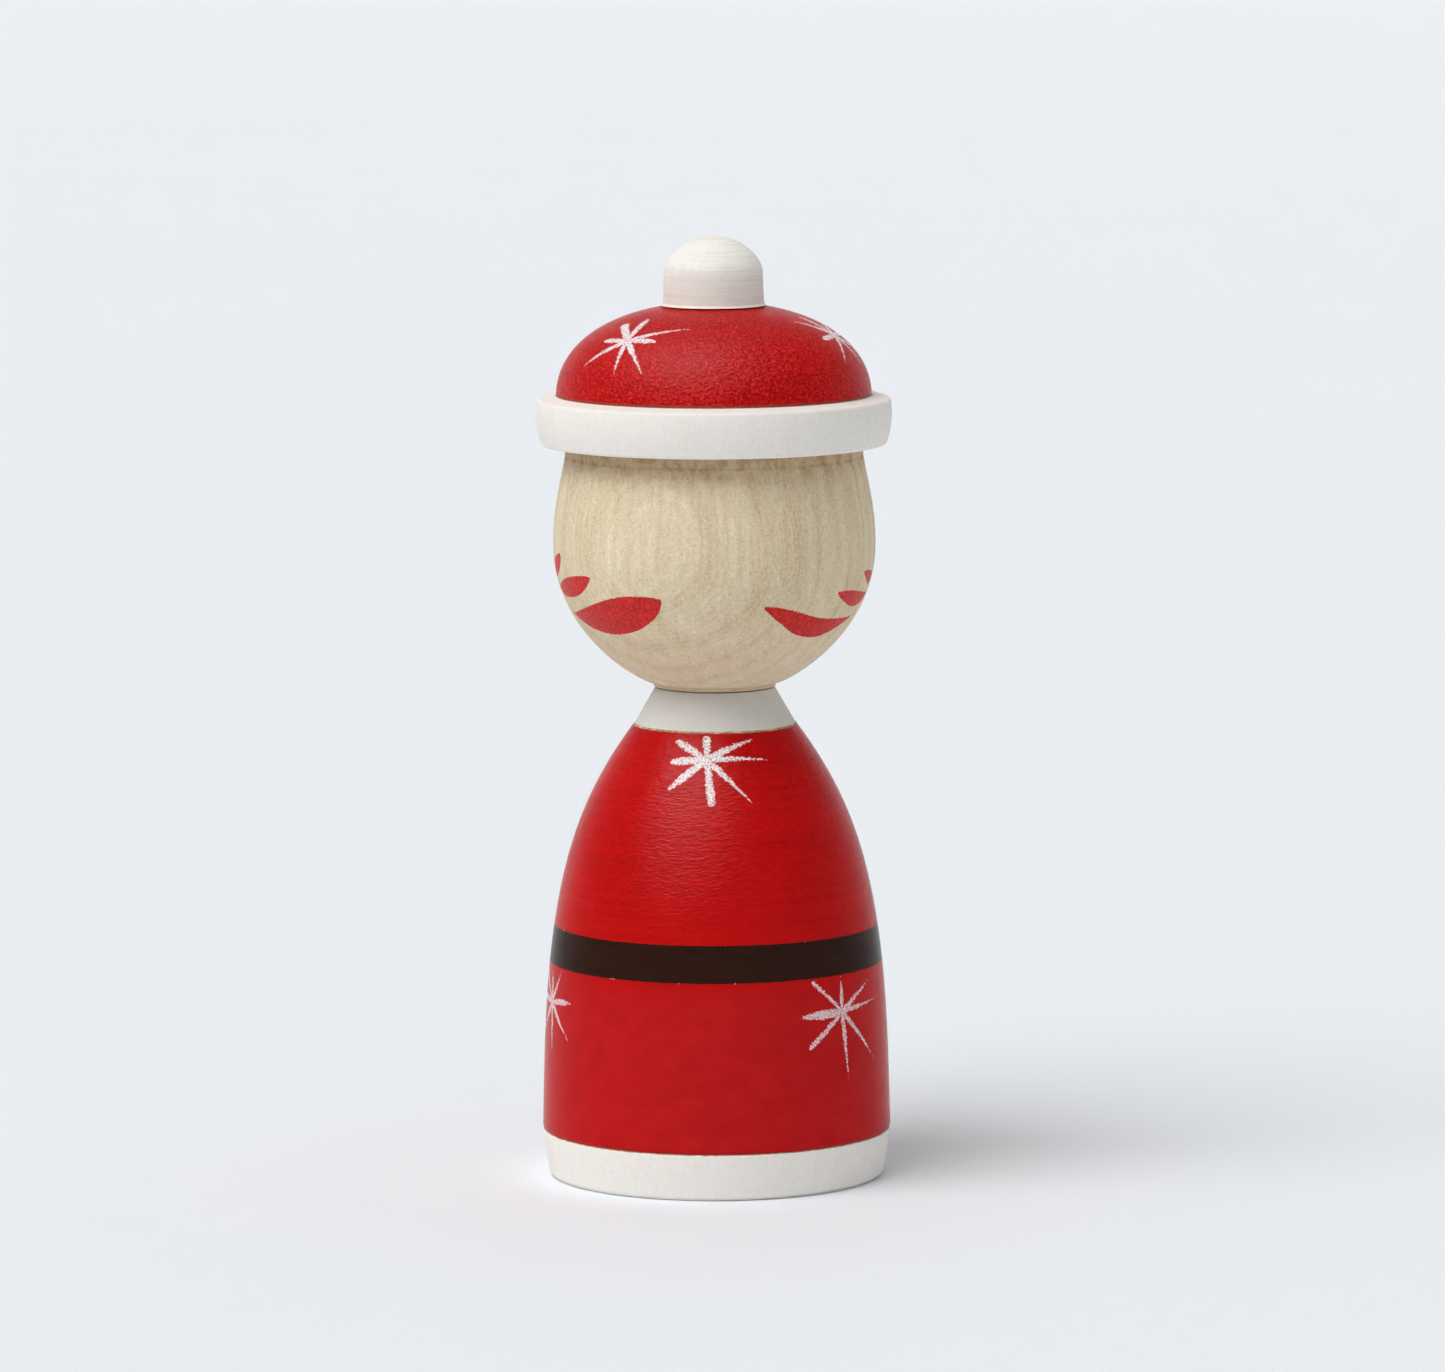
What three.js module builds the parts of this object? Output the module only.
// A kokeshi doll with a bobble hat: four pieces of turned wood on one upright axis.
// Millimetres, +Z up. The origin is the middle of the flat base, and the face looks along -Y.
// Each piece is a closed outline of radius and height, turned about its own upright axis.
import * as THREE from "three";

// Turning
const FLATS = 48;            // flats round each piece
const STEPS = {              // straight steps along each kind of stretch of an outline
  LineCurve: 1,
  EllipseCurve: 3,
  QuadraticBezierCurve: 8,
  CubicBezierCurve: 10,
};

// Body: hem, robe and collar in one piece
const BASE_RADIUS = 21.5;
const BASE_ROUNDING = 0.5;
const HEM_HEIGHT = 6.1;
const HEM_RADIUS = 22.25;
const WAIST_HEIGHT = 30.4;   // about the middle of the painted belt
const WAIST_RADIUS = 20.92;
const ROBE_TOP_HEIGHT = 57.9;
const ROBE_TOP_RADIUS = 10.45;
const COLLAR_HEIGHT = 4.8;
const COLLAR_TOP_RADIUS = 7.6;
const GROOVE_WIDTH = 0.5;    // turned lines above the hem and below the collar
const GROOVE_DEPTH = 0.25;

// Head: a pale egg on a narrow ring, with a straight band round its crown
const NECK_RING_RADIUS = 7.8;
const NECK_RING_HEIGHT = 0.45;
const CHIN_RADIUS = 8.35;
const CHIN_STEP = 0.12;
const HEAD_RADIUS = 20.5;
const HEAD_WIDEST_HEIGHT = 18.25;  // above the underside of the neck ring
const CROWN_HEIGHT = 29.4;         // foot of the straight band
const CROWN_RADIUS = 18.95;
const BAND_HEIGHT = 1.35;

// Neck: a stem below the head with a bead at its end, which keeps the head on while it turns
const NECK_RADIUS = 5.0;
const NECK_LENGTH = 9.0;
const NECK_TIP_TAPER = 1.0;
const BEAD_LENGTH = 3.0;
const BEAD_REACH = 0.5;      // how far the bead stands out past the stem

// Spigot: the round peg on the crown that the hat sits on
const SPIGOT_RADIUS = 13.0;
const SPIGOT_HEIGHT = 7.0;
const SPIGOT_CHAMFER = 0.8;

// Hat: brim and dome in one piece
const BRIM_FOOT_RADIUS = 22.05;
const BRIM_TOP_RADIUS = 22.5;
const BRIM_BULGE = 0.35;     // how far the handle of its rounded side stands out past its top
const BRIM_HEIGHT = 6.2;
const BRIM_FALL = 0.35;      // how far the top of the brim slopes down to its edge
const BRIM_ROUNDING = 0.45;
const DOME_RADIUS = 20.05;
const DOME_HEIGHT = 11.25;
const DOME_TOP_RADIUS = 6.5;

// Bobble: a domed knob with a dowel below it
const BOBBLE_RADIUS = 6.28;  // at the top of its side
const BOBBLE_TAPER = 0.14;   // how much wider its side is at the bottom
const BOBBLE_FLARE = 0.25;   // how far its foot stands out past its side
const BOBBLE_FOOT_HEIGHT = 0.3;
const BOBBLE_SIDE_HEIGHT = 4.05;
const BOBBLE_HEIGHT = 8.85;
const DOWEL_RADIUS = 2.5;
const DOWEL_LENGTH = 6.0;
const DOWEL_CHAMFER = 0.5;

// Clearances
const SEAT_GAP = 0.15;       // between two faces that rest on each other
const NECK_CLEARANCE = 0.2;  // round the neck and its bead
const SPIGOT_CLEARANCE = 0.25;
const DOWEL_CLEARANCE = 0.1; // room for the glue

// Where the seats are: the collar's top in the doll, the rest in the piece that has the seat
const COLLAR_TOP = ROBE_TOP_HEIGHT + COLLAR_HEIGHT;
const CROWN_TOP = CROWN_HEIGHT + BAND_HEIGHT;
const DOME_TOP = BRIM_HEIGHT + DOME_HEIGHT;
const STEM_LENGTH = NECK_LENGTH - BEAD_LENGTH;

// A curved stretch from an outline's last point to a new one. Each end's handle is a share of the
// radius, and a share of the height, between the two points.
function bend(outline, radius, height, startHandle, endHandle) {
  const from = outline.currentPoint.clone();
  const to = new THREE.Vector2(radius, height);
  const span = to.clone().sub(from);
  const leave = from.clone().add(span.clone().multiply(startHandle));
  const arrive = to.clone().sub(span.clone().multiply(endHandle));
  outline.bezierCurveTo(leave.x, leave.y, arrive.x, arrive.y, to.x, to.y);
}

// A handle's two shares.
function handle(radiusShare, heightShare) {
  return new THREE.Vector2(radiusShare, heightShare);
}

// An outline's points, with its curves and roundings broken into straight steps.
function pointsOf(outline) {
  return outline.curves.flatMap((curve, index) => {
    const steps = STEPS[curve.type];
    const points = curve.getPoints(steps);
    return index === 0 ? points : points.slice(1);
  });
}

// A named piece of turned wood. LatheGeometry turns about Y, so the result is stood up along Z.
function turned(name, outline, color, roughness) {
  const geometry = new THREE.LatheGeometry(pointsOf(outline), FLATS).rotateX(Math.PI / 2);
  const mesh = new THREE.Mesh(geometry, new THREE.MeshStandardMaterial({ color, roughness, metalness: 0 }));
  mesh.name = name;
  return mesh;
}

// Body, from the base up the outside to the collar, then down the undercut socket for the neck.
function body() {
  const mouthRadius = NECK_RADIUS + NECK_CLEARANCE;
  const undercutRadius = mouthRadius + BEAD_REACH;
  const mouthFoot = COLLAR_TOP + SEAT_GAP - STEM_LENGTH + NECK_CLEARANCE;
  const socketFloor = COLLAR_TOP + SEAT_GAP - NECK_LENGTH - NECK_CLEARANCE;
  const outline = new THREE.Path();
  outline.moveTo(0, 0);
  outline.lineTo(BASE_RADIUS - BASE_ROUNDING, 0);
  outline.absarc(BASE_RADIUS - BASE_ROUNDING, BASE_ROUNDING, BASE_ROUNDING, -Math.PI / 2, 0);
  outline.lineTo(HEM_RADIUS, HEM_HEIGHT - GROOVE_WIDTH / 2);
  outline.lineTo(HEM_RADIUS - GROOVE_DEPTH, HEM_HEIGHT);
  outline.lineTo(HEM_RADIUS, HEM_HEIGHT + GROOVE_WIDTH / 2);
  bend(outline, WAIST_RADIUS, WAIST_HEIGHT, handle(0.12, 0.29), handle(0.79, 0.33));
  bend(outline, ROBE_TOP_RADIUS, ROBE_TOP_HEIGHT, handle(0.15, 0.43), handle(0.58, 0.3));
  outline.lineTo(ROBE_TOP_RADIUS - GROOVE_DEPTH, ROBE_TOP_HEIGHT + GROOVE_WIDTH / 2);
  outline.lineTo(COLLAR_TOP_RADIUS, COLLAR_TOP);
  outline.lineTo(mouthRadius, COLLAR_TOP);
  outline.lineTo(mouthRadius, mouthFoot);
  outline.lineTo(undercutRadius, mouthFoot - BEAD_REACH);
  outline.lineTo(undercutRadius, socketFloor);
  outline.lineTo(0, socketFloor);
  return turned("body", outline, 0xb01515, 0.5);
}

// Head, measured from the underside of its neck ring: neck below, egg above, spigot on top.
function head() {
  const beadRadius = NECK_RADIUS + BEAD_REACH;
  const spigotTop = CROWN_TOP + SPIGOT_HEIGHT;
  const outline = new THREE.Path();
  outline.moveTo(0, -NECK_LENGTH);
  outline.lineTo(beadRadius - NECK_TIP_TAPER, -NECK_LENGTH);
  outline.lineTo(beadRadius, NECK_TIP_TAPER - NECK_LENGTH);
  outline.lineTo(beadRadius, -STEM_LENGTH - BEAD_REACH);
  outline.lineTo(NECK_RADIUS, -STEM_LENGTH);
  outline.lineTo(NECK_RADIUS, 0);
  outline.lineTo(NECK_RING_RADIUS, 0);
  outline.lineTo(NECK_RING_RADIUS, NECK_RING_HEIGHT);
  outline.lineTo(CHIN_RADIUS, NECK_RING_HEIGHT + CHIN_STEP);
  bend(outline, HEAD_RADIUS, HEAD_WIDEST_HEIGHT, handle(0.07, 0), handle(0, 0.675));
  bend(outline, CROWN_RADIUS, CROWN_HEIGHT, handle(0, 0.44), handle(0.3, 0.26));
  outline.lineTo(CROWN_RADIUS, CROWN_TOP);
  outline.lineTo(SPIGOT_RADIUS, CROWN_TOP);
  outline.lineTo(SPIGOT_RADIUS, spigotTop - SPIGOT_CHAMFER);
  outline.lineTo(SPIGOT_RADIUS - SPIGOT_CHAMFER, spigotTop);
  outline.lineTo(0, spigotTop);
  return turned("head", outline, 0xcbb489, 0.6);
}

// Hat, measured from the underside of its brim: recess, brim, dome and a dowel hole in the top.
function hat() {
  const recessRadius = SPIGOT_RADIUS + SPIGOT_CLEARANCE;
  const recessTop = SPIGOT_HEIGHT + SPIGOT_CLEARANCE;
  const footCorner = BRIM_FOOT_RADIUS - BRIM_ROUNDING;
  const topCorner = BRIM_TOP_RADIUS - BRIM_ROUNDING;
  const sideTop = BRIM_HEIGHT - BRIM_FALL - BRIM_ROUNDING;
  const holeRadius = DOWEL_RADIUS + DOWEL_CLEARANCE;
  const holeFloor = DOME_TOP + SEAT_GAP - DOWEL_LENGTH - DOWEL_CLEARANCE;
  const outline = new THREE.Path();
  outline.moveTo(0, recessTop);
  outline.lineTo(recessRadius, recessTop);
  outline.lineTo(recessRadius, 0);
  outline.lineTo(footCorner, 0);
  outline.absarc(footCorner, BRIM_ROUNDING, BRIM_ROUNDING, -Math.PI / 2, 0);
  outline.quadraticCurveTo(BRIM_TOP_RADIUS + BRIM_BULGE, BRIM_HEIGHT / 2, BRIM_TOP_RADIUS, sideTop);
  outline.absarc(topCorner, sideTop, BRIM_ROUNDING, 0, Math.PI / 2);
  outline.lineTo(DOME_RADIUS, BRIM_HEIGHT);
  bend(outline, DOME_TOP_RADIUS, DOME_TOP, handle(0.01, 0.5), handle(0.63, 0.13));
  outline.lineTo(holeRadius, DOME_TOP);
  outline.lineTo(holeRadius, holeFloor);
  outline.lineTo(0, holeFloor);
  return turned("hat", outline, 0xb01515, 0.5);
}

// Bobble, measured from the underside of its foot: dowel below, short side and round top above.
function bobble() {
  const sideRadius = BOBBLE_RADIUS + BOBBLE_TAPER;
  const outline = new THREE.Path();
  outline.moveTo(0, -DOWEL_LENGTH);
  outline.lineTo(DOWEL_RADIUS - DOWEL_CHAMFER, -DOWEL_LENGTH);
  outline.lineTo(DOWEL_RADIUS, DOWEL_CHAMFER - DOWEL_LENGTH);
  outline.lineTo(DOWEL_RADIUS, 0);
  outline.lineTo(sideRadius + BOBBLE_FLARE, 0);
  outline.lineTo(sideRadius, BOBBLE_FOOT_HEIGHT);
  outline.lineTo(BOBBLE_RADIUS, BOBBLE_SIDE_HEIGHT);
  bend(outline, 0, BOBBLE_HEIGHT, handle(0, 0.5), handle(0.46, 0));
  return turned("bobble", outline, 0xe6e2da, 0.65);
}

// A group whose own origin is a seat, with the gap that its pieces keep above it.
function seatAt(height) {
  const seat = new THREE.Group();
  seat.position.z = height + SEAT_GAP;
  return seat;
}

const doll = new THREE.Group();
const onCollar = seatAt(COLLAR_TOP);
const onCrown = seatAt(CROWN_TOP);
const onDome = seatAt(DOME_TOP);
doll.add(body(), onCollar);
onCollar.add(head(), onCrown);
onCrown.add(hat(), onDome);
onDome.add(bobble());

export default doll;
